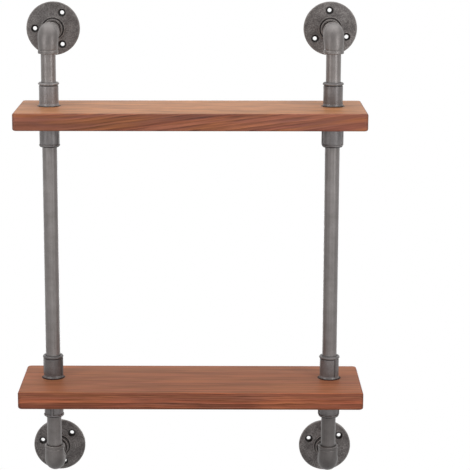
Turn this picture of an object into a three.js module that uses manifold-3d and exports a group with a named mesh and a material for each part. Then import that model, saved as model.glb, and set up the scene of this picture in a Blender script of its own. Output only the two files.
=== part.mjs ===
// Pipe shelving unit: two boards on two uprights of threaded pipe and fittings, held off a wall by four flanges.
// Units are millimetres and +Z is up. The wall is the plane y = 0, and the unit stands out from it towards -y.
// The origin lies on the wall, midway between the uprights and midway between the upper and lower flanges.
import * as THREE from "three";
import { mergeVertices } from "three/addons/utils/BufferGeometryUtils.js";
import Module from "manifold-3d";

// Layout of the unit
const uprightSpacing = 410; // centre to centre of the two uprights
const wallArmLength = 90; // wall to the centre line of an upright
const shelfPitch = 406; // top of the lower board to top of the upper board
const topRise = 104; // top of the upper board to the centre line of the upper wall nipples
const bottomDrop = 108; // underside of the lower board to the centre line of the lower wall nipples

// Boards
const boardThickness = 25;
const boardOverhang = 45; // centre line of an upright to the end of a board
const boardFront = 85; // centre line of an upright to the front edge of a board
const boardWallGap = 25; // back edge of a board to the wall
const boardEdgeRound = 2.5; // radius along the long and short edges
const boardCornerRound = 4; // radius of the four corners seen from above
const boardHoleClearance = 0.7; // between a nipple and the hole it passes through

// Pipe and thread, shared by every piece that screws together
const pipeDiameter = 21.5;
const pipeWall = 2.75;
const threadStep = 0.45; // how far the threaded end lies below the pipe's surface
const threadEngagement = 12; // how deep a threaded end sits in a fitting
const threadRunout = 0.8; // socket length left past the end of the thread
const mouthChamfer = 1.5; // lead-in at the mouth of every threaded socket
const shoulderDepth = 0.5; // how far a pipe's full width reaches into that lead-in
const seatGap = 0.3; // clearance between a thread and its socket, and between seated faces

// Couplings, one above and one below each board on each upright
const couplingWall = 3.5; // metal round the threaded socket
const couplingTipGap = 10; // space left between the two threaded ends inside
const couplingBeadHeight = 1.1;
const couplingBeadWidth = 3.2;
const couplingBeadRound = 1;
const couplingGrooveDepth = 0.6;
const couplingGrooveWidth = 1.2;
const couplingFootHeight = 0.8; // how far the band against the board stands out
const couplingFootWidth = 1.1;
const couplingFootTaper = 2.4; // length over which that band runs out into the body
const couplingRibHeight = 1.8;
const couplingRibWidth = 4.4;
const couplingRibCrown = 2.2; // width of the nearly flat top of a rib

// Elbows, at the top and bottom of each upright
const elbowWall = 3.4;
const elbowCrotchRadius = 1.6; // inside corner of the bend
const elbowBulgeHeight = 1.1; // how much the body swells in the middle of the bend
const elbowBeadHeight = 0.7;
const elbowBeadWidth = 3.8;
const elbowBeadRound = 0.6;
const elbowBoreDiameter = 16.5; // passage round the bend

// Flanges, screwed flat to the wall
const flangeDiameter = 79;
const flangeRimHeight = 4.8; // wall to the outer edge of the front face
const flangeFaceRise = 1.2; // how much the front face rises towards the hub
const flangeEdgeRound = 1.2;
const flangeStepWidth = 3.2; // neck of the hub to the outside of the ring round it
const flangeStepHeight = 3.6; // ring above the front face
const flangeGrooveWidth = 1.6; // groove between that ring and the neck
const flangeGrooveDepth = 1.4;
const flangeNeckWall = 3.9;
const flangeLipRound = 0.8; // outer edges of the ring and of the neck
const flangeFillet = 1; // inside corner at the foot of the ring
const flangeBackDepth = 5; // wall to the end of the nipple inside the hub
const screwCircleDiameter = 54;
const screwHoleDiameter = 6.3;
const countersinkDiameter = 10.8;
const screwHoleCount = 3;

const cutOverrun = 1; // how far every cutter runs past the surface it cuts

// Facets round a pipe, a flange and a screw hole, and along a bend and a rounded edge
const pipeFacets = 16;
const flangeFacets = 28;
const holeFacets = 12;
const bendFacets = 4;
const edgeFacets = 2;

const halfTurn = 180; // degrees

// Which way each flange was turned when it tightened: angle of its first screw hole from +x, in degrees
const screwHoleAngles = {
  left_top: 60,
  right_top: 93,
  left_bottom: 45,
  right_bottom: 36,
};

// Which way each ribbed coupling was turned when it tightened: angle of a rib from the front towards +x,
// in degrees. The two couplings above the upper board are cast without ribs.
const ribAngles = {
  left_upper_shelf_bottom: 68,
  left_lower_shelf_top: 70,
  left_lower_shelf_bottom: -6,
  right_upper_shelf_bottom: 86,
  right_lower_shelf_top: 38,
  right_lower_shelf_bottom: 86,
};

// Sizes that follow from the ones above
const pipeRadius = pipeDiameter / 2;
const boreRadius = pipeRadius - pipeWall;
const threadRadius = pipeRadius - threadStep;
const socketRadius = threadRadius + seatGap;
const boardLength = uprightSpacing + 2 * boardOverhang;
const boardBack = wallArmLength - boardWallGap;
const couplingRadius = socketRadius + couplingWall;
const couplingLength = 2 * threadEngagement + couplingTipGap;
const elbowRadius = socketRadius + elbowWall;
const elbowBendRadius = elbowRadius + elbowCrotchRadius;
const elbowArm = threadEngagement + threadRunout;
const elbowReach = elbowArm + elbowBendRadius;
const flangeHeight = threadEngagement + flangeBackDepth;
const flangeNeckRadius = socketRadius + flangeNeckWall;
const flangeStepRadius = flangeNeckRadius + flangeStepWidth;

// Heights, measured from the middle of the unit
const flangeRise = (topRise + shelfPitch + boardThickness + bottomDrop) / 2;
const upperShelfTop = flangeRise - topRise;
const lowerShelfTop = upperShelfTop - shelfPitch;
const upperShelfUnderside = upperShelfTop - boardThickness;
const lowerShelfUnderside = lowerShelfTop - boardThickness;

const wasm = await Module();
wasm.setup();

// A closed geometry as a solid that can be joined and cut.
function solidOf(geometry) {
  const bare = geometry.clone();
  bare.deleteAttribute("normal");
  bare.deleteAttribute("uv");
  const merged = mergeVertices(bare);
  const mesh = new wasm.Mesh({
    numProp: 3,
    vertProperties: merged.attributes.position.array,
    triVerts: new Uint32Array(merged.index.array),
  });
  return new wasm.Manifold(mesh);
}

// A solid back as a geometry that a mesh can carry.
function geometryOf(solid) {
  const mesh = solid.getMesh();
  const geometry = new THREE.BufferGeometry();
  geometry.setAttribute("position", new THREE.BufferAttribute(mesh.vertProperties, 3));
  geometry.setIndex(new THREE.BufferAttribute(mesh.triVerts, 1));
  return geometry;
}

// A profile of [radius, height] points turned about the z axis, with its first facet edge at the front.
function turned(profile, facets) {
  const points = profile.map(([radius, height]) => new THREE.Vector2(radius, height));
  return new THREE.LatheGeometry(points, facets).rotateX(Math.PI / 2);
}

// A ring-shaped piece: its profile closes on itself and never meets the axis.
function turnedRing(profile, facets) {
  return turned([...profile, profile[0]], facets);
}

// Places along an axis that runs straight, turns through a quarter bend and runs straight again.
// The first arm comes from +y, the second goes down, and the axes of both meet at the origin.
function bentAxis(station, arm, bendRadius) {
  const arc = (bendRadius * Math.PI) / 2;
  const turn = THREE.MathUtils.clamp((station - arm) / bendRadius, 0, Math.PI / 2);
  const before = Math.max(arm - station, 0);
  const after = Math.max(station - arm - arc, 0);
  const outward = new THREE.Vector3(0, -Math.sin(turn), Math.cos(turn));
  const centre = new THREE.Vector3(0, bendRadius + before, -bendRadius - after);
  return { centre: centre.addScaledVector(outward, bendRadius), outward };
}

// A closed profile of [station, radius] points turned about a bent axis, as a lathe would if its axis could bend.
function turnedAlongBend(profile, arm, bendRadius, facets) {
  const positions = [];
  for (const [station, radius] of profile) {
    const { centre, outward } = bentAxis(station, arm, bendRadius);
    for (let side = 0; side < facets; side += 1) {
      const angle = (side / facets) * 2 * Math.PI;
      const across = radius * Math.sin(angle);
      const out = radius * Math.cos(angle);
      positions.push(centre.x + across, centre.y + outward.y * out, centre.z + outward.z * out);
    }
  }
  const indices = [];
  const rings = profile.length;
  for (let ring = 0; ring < rings; ring += 1) {
    const nextRing = (ring + 1) % rings;
    for (let side = 0; side < facets; side += 1) {
      const nextSide = (side + 1) % facets;
      const a = ring * facets + side;
      const b = ring * facets + nextSide;
      const c = nextRing * facets + nextSide;
      const d = nextRing * facets + side;
      indices.push(a, c, b, a, d, c);
    }
  }
  const geometry = new THREE.BufferGeometry();
  geometry.setAttribute("position", new THREE.Float32BufferAttribute(positions, 3));
  geometry.setIndex(indices);
  return geometry;
}

// Length of pipe between two fittings, with a shouldered thread at each end.
// It stands on the mouth of the lower fitting, at z = 0, and reaches the mouth of the upper one.
function pipeGeometry(visibleLength) {
  return turnedRing(
    [
      [boreRadius, -threadEngagement],
      [threadRadius, -threadEngagement],
      [threadRadius, -shoulderDepth],
      [pipeRadius, -shoulderDepth],
      [pipeRadius, visibleLength + shoulderDepth],
      [threadRadius, visibleLength + shoulderDepth],
      [threadRadius, visibleLength + threadEngagement],
      [boreRadius, visibleLength + threadEngagement],
    ],
    pipeFacets,
  );
}

// Short nipple, threaded all over, that passes through a board from coupling to coupling.
function boardNippleGeometry() {
  const reach = boardThickness / 2 + seatGap + threadEngagement;
  return turnedRing(
    [
      [boreRadius, -reach],
      [threadRadius, -reach],
      [threadRadius, reach],
      [boreRadius, reach],
    ],
    pipeFacets,
  );
}

// Rib along the side of a coupling, from its foot band into its bead, with a rounded back.
function couplingRib() {
  const bottom = couplingFootWidth / 2;
  const top = couplingLength - couplingBeadWidth / 2;
  const foot = couplingRibWidth / 2;
  const crown = couplingRibCrown / 2;
  const sunk = -couplingGrooveDepth - couplingRibHeight;
  const rib = new THREE.Shape();
  rib.moveTo(-foot, sunk);
  rib.lineTo(foot, sunk);
  rib.lineTo(foot, 0);
  rib.quadraticCurveTo(foot, couplingRibHeight, crown, couplingRibHeight);
  rib.lineTo(-crown, couplingRibHeight);
  rib.quadraticCurveTo(-foot, couplingRibHeight, -foot, 0);
  const bar = new THREE.ExtrudeGeometry(rib, {
    depth: top - bottom,
    bevelEnabled: false,
    curveSegments: edgeFacets,
  });
  return bar.rotateZ(Math.PI).translate(0, -couplingRadius, bottom);
}

// Cast coupling, standing on its foot band at z = 0 with its beaded mouth up, and a rib at each given angle.
function couplingGeometry(ribTurns) {
  const footRadius = couplingRadius + couplingFootHeight;
  const beadRadius = couplingRadius + couplingBeadHeight;
  const grooveRadius = couplingRadius - couplingGrooveDepth;
  const beadStart = couplingLength - couplingBeadWidth;
  const grooveStart = beadStart - couplingGrooveWidth;
  let coupling = solidOf(
    turnedRing(
      [
        [socketRadius, 0],
        [footRadius, 0],
        [footRadius, couplingFootWidth],
        [couplingRadius, couplingFootWidth + couplingFootTaper],
        [couplingRadius, grooveStart - couplingGrooveDepth],
        [grooveRadius, grooveStart],
        [grooveRadius, beadStart],
        [beadRadius - couplingBeadRound, beadStart],
        [beadRadius, beadStart + couplingBeadRound],
        [beadRadius, couplingLength - couplingBeadRound],
        [beadRadius - couplingBeadRound, couplingLength],
        [socketRadius + mouthChamfer, couplingLength],
        [socketRadius, couplingLength - mouthChamfer],
      ],
      pipeFacets,
    ),
  );
  for (const turn of ribTurns) {
    const rib = couplingRib().rotateZ(THREE.MathUtils.degToRad(turn));
    coupling = coupling.add(solidOf(rib));
  }
  return geometryOf(coupling);
}

// Cast elbow: a beaded mouth towards the wall, a quarter bend and a beaded mouth down, hollow all the way.
function elbowGeometry() {
  const total = 2 * elbowArm + (elbowBendRadius * Math.PI) / 2;
  const beadRadius = elbowRadius + elbowBeadHeight;
  const mouthOutside = [
    [0, beadRadius - elbowBeadRound],
    [elbowBeadRound, beadRadius],
    [elbowBeadWidth - elbowBeadRound, beadRadius],
    [elbowBeadWidth, beadRadius - elbowBeadRound],
    [elbowBeadWidth, elbowRadius],
  ];
  const mouthInside = [
    [0, socketRadius + mouthChamfer],
    [mouthChamfer, socketRadius],
    [elbowArm, socketRadius],
  ];
  const bend = [];
  for (let step = 0; step <= bendFacets; step += 1) {
    bend.push(step / bendFacets);
  }
  const stationAt = (share) => elbowArm + share * (total - 2 * elbowArm);
  const swellAt = (share) => elbowBulgeHeight * Math.sin(share * Math.PI);
  const fromFarEnd = ([station, radius]) => [total - station, radius];
  const profile = [
    ...mouthOutside,
    ...bend.map((share) => [stationAt(share), elbowRadius + swellAt(share)]),
    ...mouthOutside.map(fromFarEnd).reverse(),
    ...mouthInside.map(fromFarEnd),
    ...bend.map((share) => [stationAt(share), elbowBoreDiameter / 2]).reverse(),
    ...mouthInside.slice().reverse(),
  ];
  return turnedAlongBend(profile, elbowArm, elbowBendRadius, pipeFacets);
}

// Cutter for one countersunk screw hole, standing on the wall at z = 0.
function screwHoleCutter(faceHeight) {
  const holeRadius = screwHoleDiameter / 2;
  const coneDepth = countersinkDiameter / 2 - holeRadius;
  return turned(
    [
      [0, -cutOverrun],
      [holeRadius, -cutOverrun],
      [holeRadius, faceHeight - coneDepth],
      [holeRadius + coneDepth + cutOverrun, faceHeight + cutOverrun],
      [0, faceHeight + cutOverrun],
    ],
    holeFacets,
  );
}

// Cast wall flange, lying on its back at z = 0 with its stepped hub up and its first hole at the given angle.
function flangeGeometry(firstHoleAngle) {
  const rimRadius = flangeDiameter / 2;
  const faceHeight = flangeRimHeight + flangeFaceRise;
  const stepTop = faceHeight + flangeStepHeight;
  const grooveFloor = stepTop - flangeGrooveDepth;
  const grooveRadius = flangeNeckRadius + flangeGrooveWidth;
  let flange = solidOf(
    turnedRing(
      [
        [socketRadius, 0],
        [rimRadius, 0],
        [rimRadius, flangeRimHeight - flangeEdgeRound],
        [rimRadius - flangeEdgeRound, flangeRimHeight],
        [flangeStepRadius + flangeFillet, faceHeight],
        [flangeStepRadius, faceHeight + flangeFillet],
        [flangeStepRadius, stepTop - flangeLipRound],
        [flangeStepRadius - flangeLipRound, stepTop],
        [grooveRadius, stepTop],
        [grooveRadius, grooveFloor],
        [flangeNeckRadius, grooveFloor],
        [flangeNeckRadius, flangeHeight - flangeLipRound],
        [flangeNeckRadius - flangeLipRound, flangeHeight],
        [socketRadius + mouthChamfer, flangeHeight],
        [socketRadius, flangeHeight - mouthChamfer],
      ],
      flangeFacets,
    ),
  );
  const screwCircleRadius = screwCircleDiameter / 2;
  const inwards = (rimRadius - screwCircleRadius) / (rimRadius - flangeStepRadius);
  const heightAtScrews = flangeRimHeight + inwards * flangeFaceRise;
  for (let hole = 0; hole < screwHoleCount; hole += 1) {
    const angle = THREE.MathUtils.degToRad(firstHoleAngle) + (hole / screwHoleCount) * 2 * Math.PI;
    const cutter = screwHoleCutter(heightAtScrews).translate(screwCircleRadius, 0, 0).rotateZ(angle);
    flange = flange.subtract(solidOf(cutter));
  }
  return geometryOf(flange);
}

// Plain board with rounded edges and corners and a hole for each upright, its top face at z = 0.
function boardGeometry() {
  const inset = boardEdgeRound;
  const corner = boardCornerRound - inset;
  const right = boardLength / 2 - inset;
  const left = -right;
  const front = -boardFront + inset;
  const back = boardBack - inset;
  const outline = new THREE.Shape();
  outline.moveTo(left + corner, front);
  outline.lineTo(right - corner, front);
  outline.absarc(right - corner, front + corner, corner, -Math.PI / 2, 0);
  outline.lineTo(right, back - corner);
  outline.absarc(right - corner, back - corner, corner, 0, Math.PI / 2);
  outline.lineTo(left + corner, back);
  outline.absarc(left + corner, back - corner, corner, Math.PI / 2, Math.PI);
  outline.lineTo(left, front + corner);
  outline.absarc(left + corner, front + corner, corner, Math.PI, 1.5 * Math.PI);
  const plank = new THREE.ExtrudeGeometry(outline, {
    depth: boardThickness - 2 * boardEdgeRound,
    bevelSize: boardEdgeRound,
    bevelThickness: boardEdgeRound,
    bevelSegments: edgeFacets,
    curveSegments: edgeFacets,
  });
  plank.translate(0, 0, boardEdgeRound - boardThickness);
  const holeRadius = threadRadius + boardHoleClearance;
  const holeLength = boardThickness + 2 * cutOverrun;
  let board = solidOf(plank);
  for (const side of [-1, 1]) {
    const drill = new THREE.CylinderGeometry(holeRadius, holeRadius, holeLength, pipeFacets);
    drill.rotateX(Math.PI / 2).translate((side * uprightSpacing) / 2, 0, -boardThickness / 2);
    board = board.subtract(solidOf(drill));
  }
  return geometryOf(board);
}

// Satin gunmetal paint on smooth drawn pipe
function pipeFinish() {
  return new THREE.MeshStandardMaterial({ color: 0x7d7673, roughness: 0.42, metalness: 0.75 });
}

// The same paint over a slightly rough cast skin
function castFinish() {
  return new THREE.MeshStandardMaterial({ color: 0x716a67, roughness: 0.52, metalness: 0.7 });
}

// Stained softwood
function boardFinish() {
  return new THREE.MeshStandardMaterial({ color: 0x935b41, roughness: 0.55, metalness: 0 });
}

function piece(name, geometry, material) {
  geometry.computeVertexNormals();
  const mesh = new THREE.Mesh(geometry, material);
  mesh.name = name;
  return mesh;
}

// One length of pipe or nipple between two fitting mouths, standing on the lower one.
function pipeBetween(name, lowerMouth, upperMouth) {
  const pipe = piece(name, pipeGeometry(upperMouth - lowerMouth), pipeFinish());
  pipe.position.z = lowerMouth;
  return pipe;
}

// The two opposite ribs of a coupling, or none where it is cast plain.
function ribTurns(name) {
  const angle = ribAngles[name];
  return angle === undefined ? [] : [angle, angle + halfTurn];
}

// The pieces that clamp one board on one upright: coupling, nipple through the board, coupling.
function boardClamp(name, shelfTop) {
  const clamp = new THREE.Group();
  const above = piece(`${name}_top_coupling`, couplingGeometry(ribTurns(`${name}_top`)), castFinish());
  above.position.z = shelfTop + seatGap;
  const nipple = piece(`${name}_nipple`, boardNippleGeometry(), pipeFinish());
  nipple.position.z = shelfTop - boardThickness / 2;
  // Turned over about the line from left to right, so its rib angles are taken from the back.
  const turnsFromBack = ribTurns(`${name}_bottom`).map((turn) => halfTurn - turn);
  const below = piece(`${name}_bottom_coupling`, couplingGeometry(turnsFromBack), castFinish());
  below.rotation.x = Math.PI;
  below.position.z = shelfTop - boardThickness - seatGap;
  clamp.add(above, nipple, below);
  return clamp;
}

// Elbow, wall nipple and flange that carry one end of an upright, built for the top end.
// Its origin is where the centre lines of the upright and of the wall nipple cross.
function wallArm(name, firstHoleAngle) {
  const arm = new THREE.Group();
  const elbow = piece(`${name}_elbow`, elbowGeometry(), castFinish());
  const towardsWall = new THREE.Group();
  towardsWall.rotation.x = -Math.PI / 2;
  towardsWall.add(pipeBetween(`${name}_wall_nipple`, elbowReach, wallArmLength - flangeHeight));
  const flange = piece(`${name}_flange`, flangeGeometry(firstHoleAngle), castFinish());
  flange.position.y = wallArmLength;
  flange.rotation.x = Math.PI / 2;
  arm.add(elbow, towardsWall, flange);
  return arm;
}

// One upright, from its lower wall arm to its upper one.
function upright(name, side) {
  const line = new THREE.Group();
  line.position.set((side * uprightSpacing) / 2, -wallArmLength, 0);
  const couplingReach = seatGap + couplingLength;
  const topArm = wallArm(`${name}_top`, screwHoleAngles[`${name}_top`]);
  topArm.position.z = flangeRise;
  // Turned half round about the line to the wall, which points its elbow up.
  const bottomArm = wallArm(`${name}_bottom`, screwHoleAngles[`${name}_bottom`] + halfTurn);
  bottomArm.rotation.y = Math.PI;
  bottomArm.position.z = -flangeRise;
  line.add(
    topArm,
    pipeBetween(`${name}_top_pipe`, upperShelfTop + couplingReach, flangeRise - elbowReach),
    boardClamp(`${name}_upper_shelf`, upperShelfTop),
    pipeBetween(
      `${name}_middle_pipe`,
      lowerShelfTop + couplingReach,
      upperShelfUnderside - couplingReach,
    ),
    boardClamp(`${name}_lower_shelf`, lowerShelfTop),
    pipeBetween(
      `${name}_bottom_pipe`,
      elbowReach - flangeRise,
      lowerShelfUnderside - couplingReach,
    ),
    bottomArm,
  );
  return line;
}

function shelf(name, shelfTop) {
  const board = piece(`${name}_shelf_board`, boardGeometry(), boardFinish());
  board.position.set(0, -wallArmLength, shelfTop);
  return board;
}

const unit = new THREE.Group();
unit.add(
  upright("left", -1),
  upright("right", 1),
  shelf("upper", upperShelfTop),
  shelf("lower", lowerShelfTop),
);

export default unit;
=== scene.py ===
# %% [markdown]
# # A wall-hung pipe shelving unit
#
# Two stained softwood boards hang on two uprights of half-inch threaded pipe. Each upright is screwed
# together from pipes, couplings and elbows and ends in two round wall flanges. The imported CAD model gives
# every piece its place, and this script gives it the shape and finish that the eye expects close up.

# %% Load the frame
from math import pi, radians, sin, tan

import bmesh
import bpy
from mathutils import Matrix, Vector


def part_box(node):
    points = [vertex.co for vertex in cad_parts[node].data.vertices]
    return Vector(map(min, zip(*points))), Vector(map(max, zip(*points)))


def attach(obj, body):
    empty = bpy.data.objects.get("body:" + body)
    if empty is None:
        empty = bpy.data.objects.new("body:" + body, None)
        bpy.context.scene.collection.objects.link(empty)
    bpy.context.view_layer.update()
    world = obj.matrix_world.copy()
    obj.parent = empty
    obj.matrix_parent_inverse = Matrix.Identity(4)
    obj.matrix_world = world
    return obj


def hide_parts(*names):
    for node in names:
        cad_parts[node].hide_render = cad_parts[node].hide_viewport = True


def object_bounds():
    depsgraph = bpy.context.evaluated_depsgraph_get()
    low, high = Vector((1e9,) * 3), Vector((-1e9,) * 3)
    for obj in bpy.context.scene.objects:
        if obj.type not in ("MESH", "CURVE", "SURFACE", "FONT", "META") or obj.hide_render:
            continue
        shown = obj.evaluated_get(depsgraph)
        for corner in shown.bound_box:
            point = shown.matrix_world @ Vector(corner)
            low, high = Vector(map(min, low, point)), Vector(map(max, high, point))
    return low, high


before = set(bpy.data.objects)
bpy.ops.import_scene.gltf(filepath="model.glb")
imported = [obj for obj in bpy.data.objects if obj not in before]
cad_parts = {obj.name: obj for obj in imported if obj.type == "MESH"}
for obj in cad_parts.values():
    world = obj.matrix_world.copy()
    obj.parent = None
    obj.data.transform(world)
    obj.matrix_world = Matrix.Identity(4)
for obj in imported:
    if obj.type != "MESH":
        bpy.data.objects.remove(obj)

cad_box = [list(corner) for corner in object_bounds()]
print("CAD box in metres:", cad_box)

# %% [markdown]
# Blender works in metres, while fittings are measured in millimetres, and one constant turns one into the
# other. The lines on which the new pieces turn are read from the boxes of the CAD nodes.

# %% Sizes and places from the frame
MM = 0.001
SIDES = ("left", "right")


def middle(node):
    """Centre of a CAD node's box."""
    low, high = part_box(node)
    return (low + high) / 2


upright = {side: middle(f"{side}_middle_pipe") for side in SIDES}
print("uprights stand at x =", [round(upright[side].x / MM, 2) for side in SIDES])

# %% [markdown]
# The view is that of a product photograph: far away with a long lens, a little above the unit and to the
# right of its middle. The camera's sideways shift keeps the unit where the photograph's frame has it.

# %% Camera
FOCAL_PIXELS = 1821.2
FRAME_PIXELS = 470
AXIS_PIXELS = 202.0  # from the left edge of the frame to the axis of the lens
SENSOR_WIDTH = 36
CAMERA_PLACE = (0.0382, -2.7036, 0.55875)
DEGREES_DOWN = 11.492
DEGREES_LEFT = 0.485

camera_data = bpy.data.cameras.new("camera")
camera = bpy.data.objects.new("camera", camera_data)
bpy.context.scene.collection.objects.link(camera)
bpy.context.scene.camera = camera
camera_data.sensor_width = SENSOR_WIDTH
camera_data.lens = FOCAL_PIXELS / FRAME_PIXELS * SENSOR_WIDTH
camera_data.shift_x = 0.5 - AXIS_PIXELS / FRAME_PIXELS
camera.location = CAMERA_PLACE
camera.rotation_euler = (radians(90 - DEGREES_DOWN), 0, radians(DEGREES_LEFT))
print("lens in mm:", round(camera_data.lens, 2), "shift:", round(camera_data.shift_x, 4))

# %% [markdown]
# One small function adds a node of any kind to a shader or geometry tree. It sets the node's settings and
# fills its inputs, by order or by name, with a value or with another node's output. Frequent kinds have
# short names.

# %% Helper for nodes
MATH = "ShaderNodeMath"
VECTOR = "ShaderNodeVectorMath"
RANGE = "ShaderNodeMapRange"
MIX = "ShaderNodeMix"
COMBINE = "ShaderNodeCombineXYZ"
NOISE = "ShaderNodeTexNoise"
ATTRIBUTE = "ShaderNodeAttribute"
STORE = "GeometryNodeStoreNamedAttribute"
SMOOTH = {"interpolation_type": "SMOOTHSTEP"}


def add(tree, kind, inputs=(), operation=None, **settings):
    """Adds one node and gives back its first output."""
    made = tree.nodes.new(kind)
    if operation:
        made.operation = operation
    for name, value in settings.items():
        setattr(made, name, value)
    shown = [socket for socket in made.inputs if socket.enabled]
    pairs = inputs.items() if isinstance(inputs, dict) else enumerate(inputs)
    for key, value in pairs:
        socket = shown[key] if isinstance(key, int) else next(s for s in shown if s.name == key)
        if isinstance(value, bpy.types.NodeSocket):
            tree.links.new(value, socket)
        else:
            socket.default_value = value
    return next((socket for socket in made.outputs if socket.enabled), made)


# %% Helper for colours


def linear(code):
    """An sRGB hex colour as the linear values that Blender mixes."""
    channels = [int(code[i:i + 2], 16) / 255 for i in (1, 3, 5)]
    curve = [c / 12.92 if c <= 0.04045 else ((c + 0.055) / 1.055) ** 2.4 for c in channels]
    return (*curve, 1.0)


print("#808080 is linear", round(linear("#808080")[0], 4))

# %% Helpers for materials
SOFT_LEVELS = (0.35, 0.65)  # between which most of a soft noise lies
WIDE_LEVELS = (0.3, 0.7)


def empty_material(name):
    """A material without any nodes, and its tree."""
    finish = bpy.data.materials.new(name)
    finish.use_nodes = True
    finish.node_tree.nodes.clear()
    return finish, finish.node_tree


def ramp_shade(tree, level, positions, tones):
    """The colour that a ramp of tones gives to a level."""
    ramp = tree.nodes.new("ShaderNodeValToRGB")
    stops = ramp.color_ramp.elements
    while len(stops) < len(tones):
        stops.new(0.5)
    for stop, position, tone in zip(stops, positions, tones):
        stop.position = position
        stop.color = linear(tone)
    tree.links.new(level, ramp.inputs["Fac"])
    return ramp.outputs["Color"]


# %% [markdown]
# ## The studio
#
# A plain white floor lies below the unit, and the world around it is white. The light itself comes from
# large soft lamps, so the object is lit alike whatever the background is. Light Path keeps the two apart: a
# ray from the camera, a glossy ray or a ray through glass meets plain white, and every other ray meets
# dimmer ambient light.

# %% World
AMBIENT = 0.1


def seen_directly(tree):
    """1 for camera, glossy and transmission rays, and 0 for all others."""
    path = tree.nodes.new("ShaderNodeLightPath").outputs
    either = add(tree, MATH, [path["Is Camera Ray"], path["Is Glossy Ray"]], "MAXIMUM")
    return add(tree, MATH, [either, path["Is Transmission Ray"]], "MAXIMUM")


world = bpy.data.worlds.new("studio")
bpy.context.scene.world = world
world.use_nodes = True
sky = world.node_tree
sky.nodes.clear()
levels = [add(sky, "ShaderNodeBackground", [linear("#ffffff"), level]) for level in (AMBIENT, 1.0)]
chosen = add(sky, "ShaderNodeMixShader", [seen_directly(sky), *levels])
add(sky, "ShaderNodeOutputWorld", {"Surface": chosen})
print("ambient light:", AMBIENT)

# %% [markdown]
# Near the unit the floor shows a part of its own shading, which keeps the shadow. Further out it fades into
# the white around it, so no horizon shows.

# %% Floor
FLOOR_SIZE = 60
FLOOR_DROP = 0.42  # metres from the lowest flange down to the floor
NEAR_WHITE = 0.75  # share of plain white near the unit, where the rest is shading
FADE_START = 0.5  # metres from the origin at which the floor starts to fade
FADE_END = 1.15

floor_paint, tree = empty_material("white_studio_floor")
matt = add(tree, "ShaderNodeBsdfDiffuse", {"Color": linear("#a6a6a6")})
glow = add(tree, "ShaderNodeEmission", {"Color": linear("#ffffff"), "Strength": 1.0})
spot = tree.nodes.new("ShaderNodeTexCoord").outputs["Object"]
distance = add(tree, VECTOR, [spot], "LENGTH").node.outputs["Value"]
fade = add(tree, RANGE, [distance, FADE_START, FADE_END, NEAR_WHITE, 1.0], **SMOOTH)
share = add(tree, MATH, [seen_directly(tree), fade], "MULTIPLY")
lit = add(tree, "ShaderNodeMixShader", [share, matt, glow])
add(tree, "ShaderNodeOutputMaterial", {"Surface": lit})

bpy.ops.mesh.primitive_plane_add(size=FLOOR_SIZE, location=(0, 0, cad_box[0][2] - FLOOR_DROP))
floor = bpy.context.object
floor.name = "floor"
floor.data.materials.append(floor_paint)
print("floor at z =", round(floor.location.z, 3))

# %% [markdown]
# Two softboxes stand close by, right and left of the unit's upper half. They give round pieces a soft sheen
# on both flanks, and their light falls off towards the lower fittings. Two low ones further off fill the
# shade under the boards, and a wide one above and a little behind brightens the tops of the boards. A
# weaker one, too low to reach those tops, stands behind the unit and lights the backs of the flanges.

# %% Lamps
SOFTBOXES = {  # place, target, width and height in metres, and watts
    "right_softbox": ((0.75, -0.75, 0.45), (0, -0.09, 0.2), 0.35, 0.9, 3.2),
    "left_softbox": ((-0.75, -0.75, 0.45), (0, -0.09, 0.2), 0.35, 0.9, 3.4),
    "low_right_softbox": ((1.3, -1.5, 0.0), (0, -0.09, 0.0), 0.5, 1.3, 3.2),
    "low_front_softbox": ((0.0, -2.4, -0.3), (0, -0.09, 0.0), 1.2, 0.6, 4.3),
    "top_softbox": ((0.0, 0.2, 1.45), (0, -0.09, 0.1), 2.0, 1.4, 13.5),
    "back_softbox": ((0.0, 2.0, -0.5), (0, 0, 0), 2.0, 0.5, 8.0),
}
for name, (place, target, width, height, watts) in SOFTBOXES.items():
    light = bpy.data.lights.new(name, "AREA")
    light.shape = "RECTANGLE"
    light.size = width
    light.size_y = height
    light.energy = watts
    lamp = bpy.data.objects.new(name, light)
    bpy.context.scene.collection.objects.link(lamp)
    lamp.location = place
    lamp.rotation_euler = (Vector(target) - Vector(place)).to_track_quat("-Z", "Y").to_euler()

bpy.context.scene.view_settings.view_transform = "Standard"
print("softboxes:", len(SOFTBOXES))

# %% [markdown]
# ## Turned and cast pieces
#
# Pipes, couplings, elbows and flanges are round about an axis, which bends in an elbow. So one rule makes
# them all: a profile is turned about an axis that runs straight, may bend, and runs straight again. The
# profile is a list of corners, each with its radius, its station along the axis, the rounding that casting
# or machining leaves on it, and the zone of the stretch after it: plain bore, thread on a pipe or in a
# socket, cast skin, ribbed skin, a groove, or the lip of a mouth.

# %% Zones and rows of a profile
THREAD_PITCH = 1.814  # 14 threads to the inch, the standard for half-inch pipe
THREAD_DEPTH = 1.0
THREAD_SAMPLES = 6  # rows in one turn of the thread
SKIN_SPACING = 1.1
ZONE_SHARES = {
    "thread": {"thread": 1.0, "socket": -1.0},  # a socket's thread is cut outwards
    "rib": {"rib": 1.0, "groove": 1.0},
    "skin": {"skin": 1.0, "rib": 1.0, "lip": 0.08, "groove": 0.3},  # how much paint shows; the low shares of lip and groove paint their shade dark
}


def stretch_rows(start, end, zone):
    """Rows between two roundings, close enough for a thread or for the lumps of a cast skin."""
    if zone == "plain":
        return []
    spacing = THREAD_PITCH / THREAD_SAMPLES if zone in ("thread", "socket") else SKIN_SPACING
    count = max(1, round((end - start).length / spacing))
    return [(*start.lerp(end, step / count), zone, 0.0) for step in range(1, count)]


# %% Rounded corners
ARC_STEPS = 4
ROUNDING_SHARE = 0.45  # how much of the shorter side next to a corner its rounding may take
SHARP = 0.01  # mm, a cut so small that the corner stays sharp


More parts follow.
